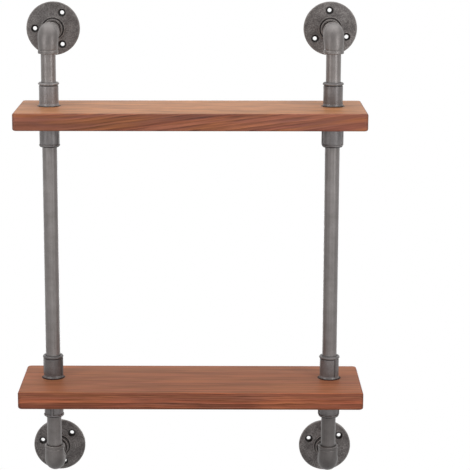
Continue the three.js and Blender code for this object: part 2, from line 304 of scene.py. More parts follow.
def corner_rows(before, corner, after):
    """Rows of radius, station, zone and edge share along the rounding of one corner."""
    here = Vector(corner[:2])
    rounding, zone = corner[2:]
    arriving = here - Vector(before[:2])
    leaving = Vector(after[:2]) - here
    reach = ROUNDING_SHARE * min(arriving.length, leaving.length)
    arriving.normalize()
    leaving.normalize()
    cut = min(rounding * tan(arriving.angle(leaving, 0.0) / 2), reach)
    if cut < SHARP:
        return [(*here, zone, 0.0)]
    start, end = here - arriving * cut, here + leaving * cut
    # Convex edges are painted paler, partly as worn paint and partly as a painted highlight. The lip of a
    # mouth that looks down lies in shade and gets none.
    rubbed_and_lit = arriving.cross(leaving) > 0 and zone != "lip"
    rows = []
    for step in range(ARC_STEPS + 1):
        t = step / ARC_STEPS
        bow = here * (2 * t * (1 - t)) + start * (1 - t) ** 2 + end * t ** 2
        rows.append((*bow, zone if t >= 0.5 else before[3], sin(t * pi) if rubbed_and_lit else 0.0))
    return rows


# %% The whole profile


def eased(corners):
    """All rows of a closed profile, with its corners rounded."""
    arcs = []
    for i, corner in enumerate(corners):
        arcs.append(corner_rows(corners[i - 1], corner, corners[(i + 1) % len(corners)]))
    rows = []
    for arc, next_arc, corner in zip(arcs, arcs[1:] + arcs[:1], corners):
        rows += arc
        rows += stretch_rows(Vector(arc[-1][:2]), Vector(next_arc[0][:2]), corner[3])
    return rows


def profile_mesh(corners):
    """The eased profile as a chain of points that carry their zone as numbers."""
    rows = eased(corners)
    rows.append(rows[0])
    mesh = bpy.data.meshes.new("profile")
    mesh.from_pydata([(r * MM, 0, s * MM) for r, s, _, _ in rows], [], [])
    marks = {name: [shares.get(row[2], 0.0) for row in rows] for name, shares in ZONE_SHARES.items()}
    marks["edge"] = [row[3] for row in rows]
    for name, values in marks.items():
        mesh.attributes.new(name, "FLOAT", "POINT").data.foreach_set("value", values)
    return mesh


# %% [markdown]
# The geometry tree lays a grid, one row for each point of the profile and one column for each facet, and
# moves every point out by its radius, round by its column and along the axis by its station. The thread is
# a wave in the radius that moves on by one pitch for each turn, and a rib is a rise near one angle. A
# little noise along the normals gives a casting its uneven skin. The place on the unbent piece is kept as
# an attribute, so that the paint's pattern follows the axis.

# %% Inputs of the turning tree


def tree_with_inputs(name, **inputs):
    """An empty geometry tree with one geometry output and with named inputs of each kind."""
    tree = bpy.data.node_groups.new(name, "GeometryNodeTree")
    tree.is_modifier = True
    tree.interface.new_socket("Geometry", in_out="OUTPUT", socket_type="NodeSocketGeometry")
    for kind, labels in inputs.items():
        for label in labels:
            tree.interface.new_socket(label, in_out="INPUT", socket_type=f"NodeSocket{kind}")
    return tree, tree.nodes.new("NodeGroupInput").outputs


def on_circle(tree, angle, radius):
    """The two coordinates of a point on a circle."""
    parts = [add(tree, MATH, [angle], kind) for kind in ("COSINE", "SINE")]
    return [add(tree, MATH, [part, radius], "MULTIPLY") for part in parts]


lathe, given = tree_with_inputs(
    "turned_piece", Geometry=["Profile"], Int=["Points", "Facets"],
    Float=["Arm", "Bend radius", "Bend angle", "Thread pitch", "Thread depth", "Rib angle", "Rib radius",
           "Rib height", "Rib width", "Skin depth", "Skin size"],
    Vector=["Seed"], Material=["Finish"])

# %% Rows and columns
# The half that is added to a point's number keeps the division clear of whole numbers.
columns = add(lathe, MATH, [given["Facets"], 1], "ADD")
grid = add(lathe, "GeometryNodeMeshGrid", {"Vertices X": given["Points"], "Vertices Y": columns})
index = add(lathe, "GeometryNodeInputIndex")
row = add(lathe, MATH, [index, 0.5], "ADD")
row = add(lathe, MATH, [row, columns], "DIVIDE")
row = add(lathe, MATH, [row], "FLOOR")
column = add(lathe, MATH, [index, columns], "MODULO")
share = add(lathe, MATH, [column, given["Facets"]], "DIVIDE")
angle = add(lathe, MATH, [share, 2 * pi], "MULTIPLY")

place = add(lathe, "GeometryNodeInputPosition")
point = add(lathe, "GeometryNodeSampleIndex", [given["Profile"], place, row], data_type="FLOAT_VECTOR")
parts = add(lathe, "ShaderNodeSeparateXYZ", [point]).node.outputs
station = parts["Z"]
mark = {}
for name in ("thread", "rib", "skin", "edge"):
    named = add(lathe, "GeometryNodeInputNamedAttribute", {"Name": name})
    mark[name] = add(lathe, "GeometryNodeSampleIndex", [given["Profile"], named, row])

# %% Thread: the radius
climb = add(lathe, MATH, [station, given["Thread pitch"]], "DIVIDE")
wave = add(lathe, MATH, [climb, share], "SUBTRACT")
wave = add(lathe, MATH, [wave, 0.5], "PINGPONG")
full_depth = add(lathe, MATH, [given["Thread depth"], 2.0], "MULTIPLY")
cut = add(lathe, MATH, [wave, full_depth], "MULTIPLY")
cut = add(lathe, MATH, [cut, mark["thread"]], "MULTIPLY")
threaded = add(lathe, MATH, [parts["X"], cut], "SUBTRACT")

# %% Ribs: the radius
# The angle swings back after a quarter turn, so one rib becomes two that stand opposite each other.
RIB_ROOT = 2  # mm below the surface at which the foot of a rib starts
RIB_FOOT = 0.3  # mm past half the rib's width at which its flank meets the skin
RIB_CREASE_SHADE_REACH = 0.9  # mm past half the width at which the painted shade of the crease beside it ends
CROWN_SHARE = 0.18  # of the width, to each side of the middle, that has the full height
RIB_BLEND = 0.5  # mm over which rib and skin run into each other

aside = add(lathe, MATH, [angle, given["Rib angle"]], "SUBTRACT")
aside = add(lathe, MATH, [aside, pi / 2], "PINGPONG")
aside = add(lathe, MATH, [aside, given["Rib radius"]], "MULTIPLY")
rib_foot = add(lathe, MATH, [given["Rib width"], 0.5, RIB_FOOT * MM], "MULTIPLY_ADD")
rib_crown = add(lathe, MATH, [given["Rib width"], CROWN_SHARE], "MULTIPLY")
crown = add(lathe, RANGE, [aside, rib_foot, rib_crown, 0.0, 1.0], **SMOOTH)
sunk = add(lathe, MATH, [given["Rib radius"], RIB_ROOT * MM], "SUBTRACT")
rise = add(lathe, MATH, [given["Rib height"], RIB_ROOT * MM], "ADD")
rib_top = add(lathe, MATH, [crown, rise, sunk], "MULTIPLY_ADD")
ribbed = add(lathe, MATH, [threaded, rib_top, RIB_BLEND * MM], "SMOOTH_MAX")
has_rib = add(lathe, MATH, [given["Rib height"], 0.0], "GREATER_THAN")
has_rib = add(lathe, MATH, [has_rib, mark["rib"]], "MULTIPLY")
radius = add(lathe, MIX, [has_rib, threaded, ribbed])

# %% Ribs: the painted shade of the crease beside them, and no painted groove shade on their crowns
crease_shade_end = add(lathe, MATH, [given["Rib width"], 0.5, RIB_CREASE_SHADE_REACH * MM], "MULTIPLY_ADD")
beside = add(lathe, RANGE, [aside, crease_shade_end, rib_foot, 0.0, 1.0], **SMOOTH)
crease_shade = add(lathe, MATH, [beside, crown], "SUBTRACT")
crease_shade = add(lathe, MATH, [crease_shade, has_rib], "MULTIPLY")
over_groove = add(lathe, MATH, [crown, has_rib], "MULTIPLY")
skin_share = add(lathe, MATH, [mark["skin"], over_groove], "MAXIMUM")

# %% Straight or bent axis
# A point past the arm swings about the centre of the bend.
straight = add(lathe, MATH, [station, given["Arm"]], "MINIMUM")
past_arm = add(lathe, MATH, [station, given["Arm"]], "SUBTRACT")
bent = add(lathe, MATH, [given["Bend radius"], given["Bend angle"]], "MULTIPLY")
turn = add(lathe, RANGE, [past_arm, 0.0, bent, 0.0, given["Bend angle"]])
beyond = add(lathe, MATH, [past_arm, bent], "SUBTRACT")
beyond = add(lathe, MATH, [beyond, 0.0], "MAXIMUM")
across, outward = on_circle(lathe, angle, radius)
inset = add(lathe, MATH, [outward, given["Bend radius"]], "SUBTRACT")
target = add(lathe, COMBINE, [across, inset, beyond])
target = add(lathe, "ShaderNodeVectorRotate", {"Vector": target, "Angle": turn},
             rotation_type="X_AXIS", invert=True)
bend_centre = add(lathe, COMBINE, [0.0, given["Bend radius"], straight])
target = add(lathe, VECTOR, [target, bend_centre], "ADD")
unbent = add(lathe, COMBINE, [across, outward, station])
unbent = add(lathe, VECTOR, [unbent, given["Seed"]], "ADD")
unbent = add(lathe, VECTOR, [unbent, 1 / MM], "SCALE")

# %% Mesh of the turned piece
# The grid's faces look towards the axis, so they are flipped to look outwards. Merging closes the seam.
SEAM = 0.002  # mm, within which points of the seam are one

body = grid
for name, value in {"skin": skin_share, "edge": mark["edge"], "flank": crease_shade}.items():
    body = add(lathe, STORE, {"Geometry": body, "Name": name, "Value": value})
body = add(lathe, STORE, {"Geometry": body, "Name": "unbent", "Value": unbent}, data_type="FLOAT_VECTOR")
body = add(lathe, "GeometryNodeSetPosition", {"Geometry": body, "Position": target})
body = add(lathe, "GeometryNodeFlipFaces", {"Mesh": body})
body = add(lathe, "GeometryNodeMergeByDistance", {"Geometry": body, "Distance": SEAM * MM})

# %% Cast skin and finish
skin = add(lathe, "GeometryNodeInputNamedAttribute", {"Name": "skin"})
where = add(lathe, "GeometryNodeInputNamedAttribute", {"Name": "unbent"}, data_type="FLOAT_VECTOR")
fine = add(lathe, MATH, [MM, given["Skin size"]], "DIVIDE")
noise = add(lathe, NOISE, {"Vector": where, "Scale": fine, "Detail": 1.0})
lump = add(lathe, MATH, [noise, 0.5], "SUBTRACT")
lump = add(lathe, MATH, [lump, given["Skin depth"]], "MULTIPLY")
lump = add(lathe, MATH, [lump, skin], "MULTIPLY")
normal = add(lathe, "GeometryNodeInputNormal")
push = add(lathe, VECTOR, [normal, lump], "SCALE")
body = add(lathe, "GeometryNodeSetPosition", {"Geometry": body, "Offset": push})
body = add(lathe, "GeometryNodeSetShadeSmooth", {"Geometry": body, "Shade Smooth": True})
body = add(lathe, "GeometryNodeRealizeInstances", {"Geometry": body})
body = add(lathe, "GeometryNodeSetMaterial", {"Geometry": body, "Material": given["Finish"]})
add(lathe, "NodeGroupOutput", [body])
print("turning tree:", len(lathe.nodes), "nodes")

# %% [markdown]
# Holes repeat too: three screw holes in each flange and two pipe holes in each board. A second tree puts a
# cutter at each place on a circle and takes them all away from the piece. Two places on a circle are the
# ends of a line, so it drills the boards as well.

# %% Tree that drills holes on a circle
drill, given = tree_with_inputs(
    "drilled_piece", Geometry=["Piece"], Object=["Cutter"], Int=["Holes"],
    Float=["Circle radius", "First angle"], Material=["Finish"])
order = add(drill, "GeometryNodeInputIndex")
share = add(drill, MATH, [order, given["Holes"]], "DIVIDE")
round_by = add(drill, MATH, [share, 2 * pi, given["First angle"]], "MULTIPLY_ADD")
spot = add(drill, COMBINE, on_circle(drill, round_by, given["Circle radius"]))
spots = add(drill, "GeometryNodePoints", {"Count": given["Holes"], "Position": spot})
cutter = add(drill, "GeometryNodeObjectInfo", {"Object": given["Cutter"]}).node.outputs["Geometry"]
cutters = add(drill, "GeometryNodeInstanceOnPoints", {"Points": spots, "Instance": cutter})
cutters = add(drill, "GeometryNodeRealizeInstances", {"Geometry": cutters})
# Walls that the cutters leave are marked drilled. On a flange the paint colours them dark, as bare iron and
# as painted shade in the hole.
cutters = add(drill, STORE, {"Geometry": cutters, "Name": "drilled", "Value": 1.0}, domain="FACE")
body = add(drill, "GeometryNodeMeshBoolean", {"Mesh 1": given["Piece"], "Mesh 2": cutters},
           "DIFFERENCE", solver="EXACT")
body = add(drill, "GeometryNodeRealizeInstances", {"Geometry": body})
body = add(drill, "GeometryNodeSetMaterial", {"Geometry": body, "Material": given["Finish"]})
add(drill, "NodeGroupOutput", [body])
print("drilling tree:", len(drill.nodes), "nodes")

# %% [markdown]
# A tree runs as a modifier. Its result is kept as a plain mesh, and the modifier is taken off again.

# %% Run a tree and keep the mesh
PLAIN_PIECE = {  # all other inputs are 0: no bend after the long arm, no ribs and no cast skin
    "Arm": 10.0, "Rib width": 1 * MM, "Skin size": 3 * MM,
    "Thread pitch": THREAD_PITCH * MM, "Thread depth": THREAD_DEPTH * MM,
}


def grown(name, seed_mesh, tree, values):
    """Runs a geometry tree on a mesh and gives an object that holds the plain result."""
    thing = bpy.data.objects.new(name, seed_mesh)
    bpy.context.scene.collection.objects.link(thing)
    modifier = thing.modifiers.new(tree.name, "NODES")
    modifier.node_group = tree
    for item in tree.interface.items_tree:
        if item.in_out == "INPUT" and item.name in values:
            modifier[item.identifier] = values[item.name]
    depsgraph = bpy.context.evaluated_depsgraph_get()
    mesh = bpy.data.meshes.new_from_object(thing.evaluated_get(depsgraph))
    thing.modifiers.remove(modifier)
    thing.data = mesh
    mesh.name = name
    return thing


def turned(name, corners, finish, facets=64, **values):
    """One round piece, standing on the origin."""
    mesh = profile_mesh(corners)
    settings = {"Points": len(mesh.vertices), "Facets": facets, "Finish": finish}
    return grown(name, mesh, lathe, PLAIN_PIECE | settings | values)


# %% [markdown]
# Every piece is painted before the unit is screwed together, and no two come out quite alike. So each mesh
# keeps how light its own paint is, and the paint's nodes read it. The tones are also painted light: they
# lighten some pieces that lie in shade, such as the coupling under the lower board, and darken others that
# the lamps light more.

# %% Paint tones, partly painted light, and the last step of each piece
PAINT_AND_LIGHT_TONE = {
    "left_top_flange": 0.92, "left_upper_shelf_top_coupling": 1.13, "right_upper_shelf_top_coupling": 0.82,
    "left_middle_pipe": 1.06, "left_lower_shelf_top_coupling": 0.75, "right_lower_shelf_top_coupling": 0.91,
    "left_lower_shelf_bottom_coupling": 1.25, "left_bottom_pipe": 1.05, "right_bottom_pipe": 0.76,
    "left_bottom_flange": 1.1, "right_bottom_flange": 1.22, "right_bottom_elbow": 0.74,
}


def settle(piece, place, node, slot, turn_it=Matrix(), sharp=40):
    """Moves the mesh to its place, shades it, and lets the piece stand for its CAD node."""
    mesh = piece.data
    mesh.transform(Matrix.Translation(place) @ turn_it)
    mesh.update()
    print(piece.name, "has", len(mesh.vertices), "points")
    mesh.set_sharp_from_angle(angle=radians(sharp))
    if slot != "board_wood":
        tone = mesh.attributes.new("tone", "FLOAT", "POINT")
        tone.data.foreach_set("value", [PAINT_AND_LIGHT_TONE.get(node, 1.0)] * len(mesh.vertices))
    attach(piece, "root")
    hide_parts(node)


# %% [markdown]
# ## Finishes
#
# The metal is painted a warm gunmetal grey with a satin sheen. On drawn pipe the paint lies smooth, with
# faint lines from the drawing die. On the iron castings it follows the grain of the sand mould, faintest on
# the elbows and deepest on the flanges. Edges that rub show paler, and this paler tone is partly a painted
# highlight. Bores, threads and screw holes carry little paint and stay dark, and the walls of the holes, the
# crease beside a rib and the grooves and lips in shade are painted dark as that shade.

# %% Gunmetal paint: its tone where it is whole
CLOUD_SIZE = 16  # mm, soft changes in how thick the paint lies
CLOUD_SHARE = 0.6
LINE_WIDTH = 1.2  # mm, drawn coarser than on the real pipe so that the lines show
LINE_LENGTH = 120
TONE_STOPS = (0.3, 0.5, 0.7)  # levels of the dark, the main and the pale tone


def paint_shade(tree, spot, grain, tones, mottle, lines):
    """Clouds, grain and drawn lines, whose mean level is that of the main tone."""
    cloud = add(tree, NOISE, {"Vector": spot, "Scale": 1 / CLOUD_SIZE, "Detail": 3.0})
    thin = 1 / LINE_WIDTH
    line_spot = add(tree, VECTOR, [spot, (thin, thin, 1 / LINE_LENGTH)], "MULTIPLY")
    line = add(tree, NOISE, {"Vector": line_spot, "Scale": 1.0, "Detail": 2.0})
    start = 0.5 - (CLOUD_SHARE + mottle + lines) / 2
    level = add(tree, MATH, [cloud, CLOUD_SHARE, start], "MULTIPLY_ADD")
    level = add(tree, MATH, [grain, mottle, level], "MULTIPLY_ADD")
    level = add(tree, MATH, [line, lines, level], "MULTIPLY_ADD")
    return ramp_shade(tree, level, TONE_STOPS, tones)


# %% Gunmetal paint: worn and bare places, painted highlights and painted shade
WEAR_AND_SHEEN = 0.7  # how far a rubbed edge goes towards bare pale metal; the pale edge is partly a painted highlight
# How dark the crease beside a rib is painted, as its shade.
CREASE_SHADE_DARKNESS = 0.7


def wear_and_painted_light(tree, shade):
    """Pale edges, partly painted highlight; dark bores; painted shade in grooves, lips, creases and holes;
    each piece's tone.
    """
    mark = {}
    for name in ("edge", "flank", "drilled", "skin", "tone"):
        mark[name] = add(tree, ATTRIBUTE, attribute_name=name).node.outputs["Fac"]
    worn_and_sheen = add(tree, MATH, [mark["edge"], WEAR_AND_SHEEN], "MULTIPLY")
    shade = add(tree, MIX, [worn_and_sheen, shade, linear("#aaa39f")], data_type="RGBA")
    crease_shade = add(tree, MATH, [mark["flank"], CREASE_SHADE_DARKNESS], "MULTIPLY")
    # Bores, threads and holes are bare; grooves, lips, creases and the walls of holes are painted as dark as
    # their shade.
    bare_and_shade = add(tree, MATH, [1.0, mark["skin"]], "SUBTRACT")
    bare_and_shade = add(tree, MATH, [bare_and_shade, mark["drilled"]], "MAXIMUM")
    bare_and_shade = add(tree, MATH, [bare_and_shade, crease_shade], "MAXIMUM")
    shade = add(tree, MIX, [bare_and_shade, shade, linear("#231f1e")], data_type="RGBA")
    return add(tree, VECTOR, [shade, mark["tone"]], "SCALE")


# %% Gunmetal paint: the four finishes
SHEEN_CHANGE = 0.07  # how far the grain makes the paint more or less rough
PAINT_GLOSS = 0.35


def painted(name, tones, rough, metallic, grain_size, grain_depth, mottle, lines):
    """Satin paint on steel or iron: three tones, grain in mm, and shares of mottling and drawn lines."""
    finish, tree = empty_material(name)
    spot = add(tree, ATTRIBUTE, attribute_name="unbent").node.outputs["Vector"]
    grain = add(tree, NOISE, {"Vector": spot, "Scale": 1 / grain_size, "Detail": 2.5, "Roughness": 0.6})
    shade = wear_and_painted_light(tree, paint_shade(tree, spot, grain, tones, mottle, lines))
    sheen = add(tree, RANGE, [grain, *WIDE_LEVELS, rough - SHEEN_CHANGE, rough + SHEEN_CHANGE])
    bump = add(tree, "ShaderNodeBump", {"Height": grain, "Strength": 1.0, "Distance": grain_depth * MM})
    paint = add(tree, "ShaderNodeBsdfPrincipled", {
        "Base Color": shade, "Roughness": sheen, "Metallic": metallic, "Specular IOR Level": PAINT_GLOSS,
        "Normal": bump,
    })
    add(tree, "ShaderNodeOutputMaterial", {"Surface": paint})
    return finish


PAINTS = {  # three tones, roughness, metal, size and depth of the grain in mm, mottling and drawn lines
    "drawn_pipe": (("#7b7573", "#898482", "#999391"), 0.32, 0.2, 0.8, 0.02, 0.2, 0.3),
    "cast_iron": (("#6f6b6b", "#827f7f", "#979494"), 0.36, 0.2, 1.3, 0.05, 0.5, 0.0),
    "smooth_elbow": (("#686361", "#787371", "#8a8583"), 0.43, 0.4, 1.6, 0.03, 0.3, 0.0),
    "rough_cast_face": (("#4c4746", "#6c6765", "#8f8a88"), 0.45, 0.2, 1.8, 0.14, 0.9, 0.0),
}
paint_on = {name: painted(f"gunmetal_paint_on_{name}", *values) for name, values in PAINTS.items()}
print("paints:", list(paint_on))

# %% [markdown]
# The boards are softwood with a reddish brown stain, through which the rings of the years show as streaks.
# The pattern is built as the tree builds it: rings about a long axis beside the board, wavy along their
# length, each year a little different in tone. The front edge then shows them as lines and the top as broad
# soft figures.

# %% Wood: where the board lay in the tree, and its rings
LEAN_START = 70.0  # mm over which the rings begin to rise
WANDER = 9.0  # mm, slow waves of the rings along the board
RIPPLE = 1.4
WIDTH_CHANGE = 5.0  # mm, how far wide and narrow years shift the rings
GROWTH_CHANGES = 0.11  # for each mm of depth, how often good and poor years take turns


def laid_in_tree(tree, parts, heart, lean, seed):
    """Places of the board about the heart of the tree, from where its rings rise and how steeply."""
    run = add(tree, MATH, [parts["X"], lean[0]], "SUBTRACT")
    run = add(tree, MATH, [run, 0.0, LEAN_START], "SMOOTH_MAX")
    lifted = add(tree, MATH, [run, -lean[1], parts["Z"]], "MULTIPLY_ADD")
    laid = add(tree, COMBINE, [parts["X"], parts["Y"], lifted])
    return add(tree, VECTOR, [laid, (seed, -heart[0], -heart[1])], "ADD")


def year_rings(tree, laid, noise, ring_width):
    """The number of each place's year, and how far through that year's growth it lies."""
    across = add(tree, "ShaderNodeSeparateXYZ", [laid]).node.outputs
    flat = add(tree, COMBINE, [0.0, across["Y"], across["Z"]])
    depth = add(tree, VECTOR, [flat], "LENGTH").node.outputs["Value"]
    depth = add(tree, MATH, [noise["slow"], WANDER, depth], "MULTIPLY_ADD")
    depth = add(tree, MATH, [noise["quick"], RIPPLE, depth], "MULTIPLY_ADD")
    growth = add(tree, MATH, [depth, GROWTH_CHANGES], "MULTIPLY")
    growth = add(tree, NOISE, {"W": growth, "Scale": 1.0, "Detail": 1.0}, noise_dimensions="1D")
    depth = add(tree, MATH, [growth, WIDTH_CHANGE, depth], "MULTIPLY_ADD")
    rings = add(tree, MATH, [depth, ring_width], "DIVIDE")
    year = add(tree, MATH, [rings], "FLOOR")
    return year, add(tree, MATH, [rings], "FRACT")


# %% [markdown]
# The stain colours each year by its own tone and lies over it in soft patches. A ring goes from pale early
# wood to dark late wood, less so towards the ends of the board, and less so on the top, where a painted
# sheen washes the rings out.

# %% Wood: the tones of the years and the strength of the rings
PATCH_LEVELS = (0.5, 0.72)
PATCH_SHARE = 0.75
LATE_WOOD = (0.3, 0.95)  # shares of a year's growth between which it darkens
VIVID = (0.3, 1.5)  # strength of the rings where they are weakest and strongest
CALM_TOP = 0.45  # how much of the rings' strength the top loses under its painted sheen
PLAIN_MIDDLE = 110.0  # mm to each side of the middle over which the rings keep their strength
FADED_ENDS = 200.0


def year_shade(tree, year, noise, tones, patches):
    """The tone of each year with two soft layers of patches over it."""
    chance = add(tree, "ShaderNodeTexWhiteNoise", {"W": year}, noise_dimensions="1D")
    positions = [number / (len(tones) - 1) for number in range(len(tones))]
    shade = ramp_shade(tree, chance, positions, tones)
    for layer, tone in zip(("patch", "cloud"), patches):
        share = add(tree, RANGE, [noise[layer], *PATCH_LEVELS, 0.0, PATCH_SHARE])
        shade = add(tree, MIX, [share, shade, linear(tone)], data_type="RGBA")
    return shade


def ring_light(tree, within, noise, from_middle, ring_depth, ends):
    """What the rings multiply the wood's tone by."""
    late = add(tree, RANGE, [within, *LATE_WOOD, ring_depth / 4, -ring_depth], **SMOOTH)
    vivid = add(tree, RANGE, [noise["vivid"], *SOFT_LEVELS, *VIVID])
    on_top = add(tree, ATTRIBUTE, attribute_name="top").node.outputs["Fac"]
    calmer = add(tree, MATH, [on_top, -CALM_TOP, 1.0], "MULTIPLY_ADD")
    vivid = add(tree, MATH, [vivid, calmer], "MULTIPLY")
    near_end = add(tree, RANGE, [from_middle, PLAIN_MIDDLE, FADED_ENDS, 1.0, ends], **SMOOTH)
    vivid = add(tree, MATH, [vivid, near_end], "MULTIPLY")
    return add(tree, MATH, [late, vivid, 1.0], "MULTIPLY_ADD")


# %% [markdown]
# The end grain drinks more stain and is darker. The rounded edges are painted darker as shade, the upper
# faces paler as painted light, and round each coupling's foot lies a dark ring of painted contact shadow.

# %% Wood: stained ends, painted shade on edges, painted light on tops, and painted contact shadows
STAIN_AND_SHADE_MARKS = (("end", 0.6, "#5a3c30"), ("edge", 0.6, "#5e3a2b"))  # mark, share and tone; the end is stain, the edge is painted shade
CONTACT_SHADOW_RADIUS = 16.8
CONTACT_SHADOW_FADE = 1.0
CONTACT_SHADOW_DARKNESS = 0.95


def marked_shade(tree, shade, top):
    """Painted light on the top, stain on the ends and painted shade on the edges, each a share of another
    tone.
    """
    for name, strength, tone in (("top", *top), *STAIN_AND_SHADE_MARKS):
        share = add(tree, ATTRIBUTE, attribute_name=name).node.outputs["Fac"]
        share = add(tree, MATH, [share, strength], "MULTIPLY")
        shade = add(tree, MIX, [share, shade, linear(tone)], data_type="RGBA")
    return shade


def contact_shadow_shade(tree, shade, parts, from_middle):
    """A painted contact shadow: a dark ring about each upright."""
    to_axis = add(tree, MATH, [from_middle, upright["right"].x / MM], "SUBTRACT")
    behind = add(tree, MATH, [parts["Y"], upright["right"].y / MM], "SUBTRACT")
    ring = add(tree, COMBINE, [to_axis, behind, 0.0])
    ring = add(tree, VECTOR, [ring], "LENGTH").node.outputs["Value"]
    fade_end = CONTACT_SHADOW_RADIUS + CONTACT_SHADOW_FADE
    contact_shadow = add(tree, RANGE, [ring, CONTACT_SHADOW_RADIUS, fade_end, CONTACT_SHADOW_DARKNESS, 0.0], **SMOOTH)
    return add(tree, MIX, [contact_shadow, shade, linear("#20130e")], data_type="RGBA")


# %% [markdown]
# Each layer of noise is stretched along the board. Real fibres are a fraction of a millimetre wide, as the
# finest layer draws them, and melt together at the camera's distance. A second layer draws them 2.3 mm
# wide, so that they show.

# %% Stained softwood
WOOD_LAYERS = {  # size in mm along the board, across it and through it
    "slow": (240, 40, 40), "quick": (60, 7, 7), "patch": (110, 16, 7), "cloud": (150, 30, 12),
    "vivid": (45, 6, 4), "figure": (130, 16, 9), "fibre": (80, 2.3, 2.3), "pore": (22, 0.6, 0.6),
}
FIBRE_CONTRAST = {"fibre": 0.21, "pore": 0.13}
FIGURE_CONTRAST = 0.18
WOOD_ROUGHNESS = 0.5
FIBRE_BUMP = {"Strength": 0.6, "Distance": 0.1 * MM}


def stained(name, heart, lean, ring_width, ring_depth, ends, tones, patches, top, gloss, seed):
    """Stained softwood: the place of its heart, its rings, their contrast at the ends, and the stain."""
    finish, tree = empty_material(name)
    spot = tree.nodes.new("ShaderNodeTexCoord").outputs["Object"]
    spot = add(tree, VECTOR, [spot, 1 / MM], "SCALE")
    parts = add(tree, "ShaderNodeSeparateXYZ", [spot]).node.outputs
    from_middle = add(tree, MATH, [parts["X"]], "ABSOLUTE")
    laid = laid_in_tree(tree, parts, heart, lean, seed)
    noise = {}
    for layer, sizes in WOOD_LAYERS.items():
        scaled = add(tree, VECTOR, [laid, [1 / size for size in sizes]], "MULTIPLY")
        noise[layer] = add(tree, NOISE, {"Vector": scaled, "Scale": 1.0, "Detail": 3.0, "Roughness": 0.55})

    year, within = year_rings(tree, laid, noise, ring_width)
    shade = year_shade(tree, year, noise, tones, patches)
    for layer, contrast in FIBRE_CONTRAST.items():
        soaked = add(tree, RANGE, [noise[layer], *WIDE_LEVELS, 1 - contrast, 1 + contrast])
        shade = add(tree, VECTOR, [shade, soaked], "SCALE")
    shade = marked_shade(tree, shade, top)
    figure = add(tree, RANGE, [noise["figure"], *SOFT_LEVELS, 1 - FIGURE_CONTRAST, 1 + FIGURE_CONTRAST])
    shade = add(tree, VECTOR, [shade, figure], "SCALE")
    light = ring_light(tree, within, noise, from_middle, ring_depth, ends)
    shade = add(tree, VECTOR, [shade, light], "SCALE")
    shade = contact_shadow_shade(tree, shade, parts, from_middle)

    bump = add(tree, "ShaderNodeBump", {"Height": noise["fibre"], **FIBRE_BUMP})
    wood = add(tree, "ShaderNodeBsdfPrincipled", {
        "Base Color": shade, "Roughness": WOOD_ROUGHNESS, "Specular IOR Level": gloss, "Normal": bump,
    })
    add(tree, "ShaderNodeOutputMaterial", {"Surface": wood})
    return finish


# The paler tone given for each top is painted light: the sheen and the brighter light that a top receives.
upper_wood = stained(
    "reddish_stain_on_pine_upper", heart=(-260, 60), lean=(-180, 0.135), ring_width=4.2, ring_depth=0.36,
    ends=0.3, tones=("#8d543f", "#a0644d", "#b26e54", "#975849", "#ab6542"), patches=("#8a5a50", "#ba7342"),
    top=(0.55, "#d89a64"), gloss=0.25, seed=31.0)
lower_wood = stained(
    "reddish_stain_on_pine_lower", heart=(-260, -330), lean=(0, 0.004), ring_width=3.2, ring_depth=0.32,
    ends=0.7, tones=("#cc6c61", "#b37254", "#9f5c49", "#d97e5a", "#bc6c5b"), patches=("#ae725d", "#c67b54"),
    top=(0.65, "#b77952"), gloss=0.1, seed=77.0)
print("nodes of the wood:", len(upper_wood.node_tree.nodes))

# %% [markdown]
# ## Pipes and nipples
#
# Each pipe is a tube with a thread on both ends. Only the painted length between two fittings shows, with a
# dark hint of thread in the mouth of each. The CAD box of a pipe runs from thread end to thread end, which
# gives the visible length.

# %% Profiles of the pipes
PIPE_RADIUS = 10.75
BORE_RADIUS = 8.0
THREAD_RADIUS = 10.3
ENGAGEMENT = 12
SHOULDER = 0.5
AXIS_TO_WALL = Matrix.Rotation(-pi / 2, 4, "X")


def tube_corners(start, end, painted_part=()):
    """Profile of a tube that is all thread but for its painted part."""
    return [
        (BORE_RADIUS, start, 0.2, "plain"),
        (THREAD_RADIUS, start, 0.3, "thread"),
        *painted_part,
        (THREAD_RADIUS, end, 0.3, "plain"),
        (BORE_RADIUS, end, 0.2, "plain"),
    ]


def pipe_corners(length):
    """Profile of a pipe whose visible part stands on station 0."""
    top = length + SHOULDER
    return tube_corners(-ENGAGEMENT, length + ENGAGEMENT, [
        (THREAD_RADIUS, -SHOULDER, 0, "skin"), (PIPE_RADIUS, -SHOULDER, 0.25, "skin"),
        (PIPE_RADIUS, top, 0.25, "skin"), (THREAD_RADIUS, top, 0, "thread"),
    ])

# %% [markdown]
# The wall nipples lie level, and all the other pipes stand. The nipple inside a board is all thread from
# end to end, and nothing of it shows.

# %% Pipes and nipples in their places
for side in SIDES:
    for part in ("top_pipe", "middle_pipe", "bottom_pipe", "top_wall_nipple", "bottom_wall_nipple"):
        node = f"{side}_{part}"
        low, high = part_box(node)
        centre = (low + high) / 2
        lying = part.endswith("wall_nipple")
        length = ((high.y - low.y) if lying else (high.z - low.z)) / MM - 2 * ENGAGEMENT
        foot = Vector((centre.x, low.y, centre.z)) if lying else Vector((centre.x, centre.y, low.z))
        turn_it = AXIS_TO_WALL if lying else Matrix()
        raise_it = Matrix.Translation((0, 0, ENGAGEMENT * MM))
        pipe = turned(f"{node}_drawn", pipe_corners(length), paint_on["drawn_pipe"])
        settle(pipe, foot, node, "pipe_metal", turn_it @ raise_it)
    for shelf in ("upper", "lower"):
        node = f"{side}_{shelf}_shelf_nipple"
        low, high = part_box(node)
        half = (high.z - low.z) / MM / 2
        nipple = turned(f"{node}_drawn", tube_corners(-half, half), paint_on["drawn_pipe"])
        settle(nipple, (low + high) / 2, node, "pipe_metal")

